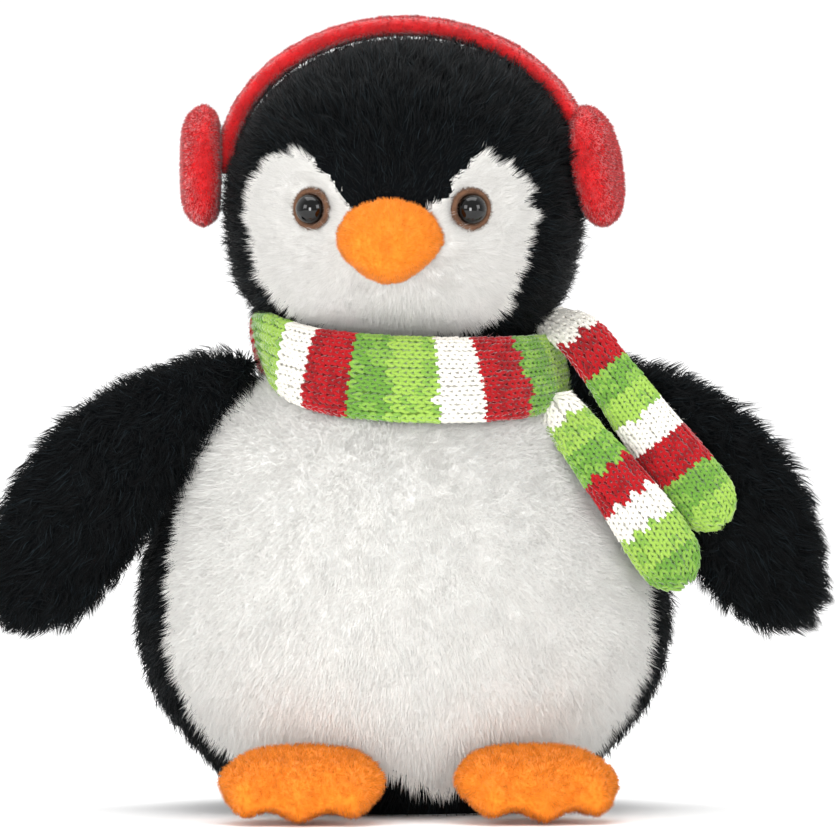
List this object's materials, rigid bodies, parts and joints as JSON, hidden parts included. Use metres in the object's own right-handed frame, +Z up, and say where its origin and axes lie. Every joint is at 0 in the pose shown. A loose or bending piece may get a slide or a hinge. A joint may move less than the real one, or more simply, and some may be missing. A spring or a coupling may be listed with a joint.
{
  "type": "plush penguin",
  "caption": "Seated plush penguin toy with a turning head, earmuffs, soft wings and feet, and a striped knitted scarf with hanging ends.",
  "frame": {"origin": "middle of the seat, on the surface that the toy sits on", "axes": "+Z up, the face looks along -Y, +X is the viewer's right"},
  "size_m": [0.189, 0.1161, 0.1804],
  "materials": {
    "black_plush": "matte",
    "white_plush": "matte",
    "stuffing": "matte",
    "bag_cloth": "matte",
    "pellet_plastic": "matte",
    "thread": "matte",
    "orange_plush": "matte",
    "eye_plastic": "gloss",
    "brown_felt": "matte",
    "washer_plastic": "matte",
    "red_fleece": "matte",
    "striped_knit": "matte"
  },
  "bodies": {
    "torso": {"back_shell": "black_plush", "belly_panel": "white_plush", "seat_panel": "black_plush", "body_filling": "stuffing", "pellet_bag": "bag_cloth", "pellets": "pellet_plastic", "closing_stitches": "thread", "scarf_wrap": "striped_knit"},
    "neck": {"neck_plug": "stuffing"},
    "head": {"head_shell": "black_plush", "face_panel": "white_plush", "head_filling": "stuffing", "beak_cover": "orange_plush", "beak_filling": "stuffing", "left_eye": "eye_plastic", "right_eye": "eye_plastic", "left_eye_ring": "brown_felt", "right_eye_ring": "brown_felt", "left_eye_washer": "washer_plastic", "right_eye_washer": "washer_plastic"},
    "earmuffs": {"earmuff_band": "red_fleece", "left_earmuff_cup": "red_fleece", "right_earmuff_cup": "red_fleece", "left_earmuff_filling": "stuffing", "right_earmuff_filling": "stuffing"},
    "left_wing_body": {"left_wing": "black_plush", "left_wing_filling": "stuffing"},
    "right_wing_body": {"right_wing": "black_plush", "right_wing_filling": "stuffing"},
    "left_foot_body": {"left_foot": "orange_plush", "left_foot_filling": "stuffing"},
    "right_foot_body": {"right_foot": "orange_plush", "right_foot_filling": "stuffing"},
    "upper_tail_body": {"scarf_upper_tail": "striped_knit"},
    "lower_tail_body": {"scarf_lower_tail": "striped_knit"}
  },
  "joints": [
    {"name": "head_turn", "type": "hinge", "parent": "torso", "child": "neck", "pos_m": [0, 0, 0.104], "axis": [0, 0, 1], "range_deg": [-20, 20], "stiffness_Nm_per_rad": 0.15},
    {"name": "head_nod", "type": "hinge", "parent": "neck", "child": "head", "pos_m": [0, 0, 0.104], "axis": [0.9877, -0.1564, 0], "range_deg": [-6, 6], "stiffness_Nm_per_rad": 0.4},
    {"name": "earmuff_tilt", "type": "hinge", "parent": "head", "child": "earmuffs", "pos_m": [0.00047, 0.00296, 0.147], "axis": [0.9877, -0.1564, 0], "range_deg": [-10, 10]},
    {"name": "left_wing_lift", "type": "hinge", "parent": "torso", "child": "left_wing_body", "pos_m": [-0.0391, -0.009, 0.099], "axis": [0, 1, 0], "range_deg": [0, 55], "stiffness_Nm_per_rad": 0.05},
    {"name": "right_wing_lift", "type": "hinge", "parent": "torso", "child": "right_wing_body", "pos_m": [0.0391, -0.009, 0.099], "axis": [0, -1, 0], "range_deg": [0, 55], "stiffness_Nm_per_rad": 0.05},
    {"name": "left_foot_flex", "type": "hinge", "parent": "torso", "child": "left_foot_body", "pos_m": [-0.0255, -0.0435, 0.0155], "axis": [0.9925, -0.1219, 0], "range_deg": [-22, 0], "stiffness_Nm_per_rad": 0.03},
    {"name": "right_foot_flex", "type": "hinge", "parent": "torso", "child": "right_foot_body", "pos_m": [0.0246, -0.0435, 0.0155], "axis": [0.9925, 0.1219, 0], "range_deg": [-22, 0], "stiffness_Nm_per_rad": 0.03},
    {"name": "upper_tail_swing", "type": "hinge", "parent": "torso", "child": "upper_tail_body", "pos_m": [0.036, -0.0145, 0.1135], "axis": [-0.7915, 0, -0.6112], "range_deg": [0, 70]},
    {"name": "lower_tail_swing", "type": "hinge", "parent": "torso", "child": "lower_tail_body", "pos_m": [0.031, -0.032, 0.092], "axis": [-0.7915, 0, -0.6112], "range_deg": [0, 70]}
  ]
}
